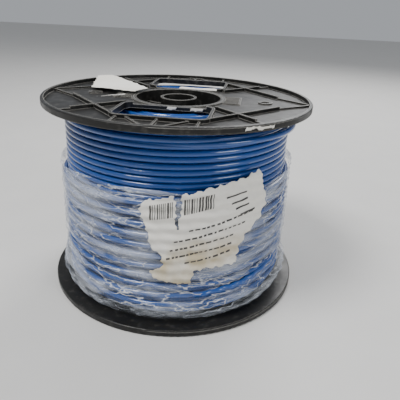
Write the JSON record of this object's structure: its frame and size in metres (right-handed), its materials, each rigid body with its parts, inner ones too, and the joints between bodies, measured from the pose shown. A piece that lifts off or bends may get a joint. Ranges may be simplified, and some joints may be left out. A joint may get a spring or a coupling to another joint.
{
  "type": "wire spool",
  "caption": "Round plastic reel with two ribbed, windowed flanges and a hollow arbor, wound with blue building wire part-wrapped in clear film.",
  "frame": {"origin": "bottom centre of the lower flange, on the arbor axis", "axes": "+Z along the arbor, towards the upper flange; +Y along the line through the two windows of each flange"},
  "size_m": [0.165, 0.165, 0.1215],
  "materials": {
    "reel_plastic": "black recycled moulded plastic, satin, dusty and scuffed pale at its edges",
    "wire_jacket": "glossy blue nylon-jacketed wire insulation",
    "clear_film": "clear wrinkled stretch film",
    "label_paper": "matte off-white torn label paper"
  },
  "bodies": {
    "root": {"upper_flange": "reel_plastic", "lower_flange": "reel_plastic", "barrel": "reel_plastic", "arbor_tube": "reel_plastic", "arbor_webs": "reel_plastic", "wire_layer_01": "wire_jacket", "wire_layer_02": "wire_jacket", "wire_layer_03": "wire_jacket", "wire_layer_04": "wire_jacket", "wire_layer_05": "wire_jacket", "wire_layer_06": "wire_jacket", "wire_layer_07": "wire_jacket", "wire_layer_08": "wire_jacket", "wire_layer_09": "wire_jacket", "wire_layer_10": "wire_jacket", "wire_layer_11": "wire_jacket", "wire_layer_12": "wire_jacket", "wire_layer_13": "wire_jacket", "wire_layer_14": "wire_jacket", "wire_loose_outer_layer": "wire_jacket", "wire_loose_top_turn": "wire_jacket", "stretch_film": "clear_film", "side_label": "label_paper", "top_label_scrap": "label_paper", "top_label_sliver": "label_paper", "rim_label_residue": "label_paper", "window_scrap_left": "label_paper", "window_scrap_right": "label_paper", "rear_window_scrap": "label_paper"}
  },
  "joints": []
}
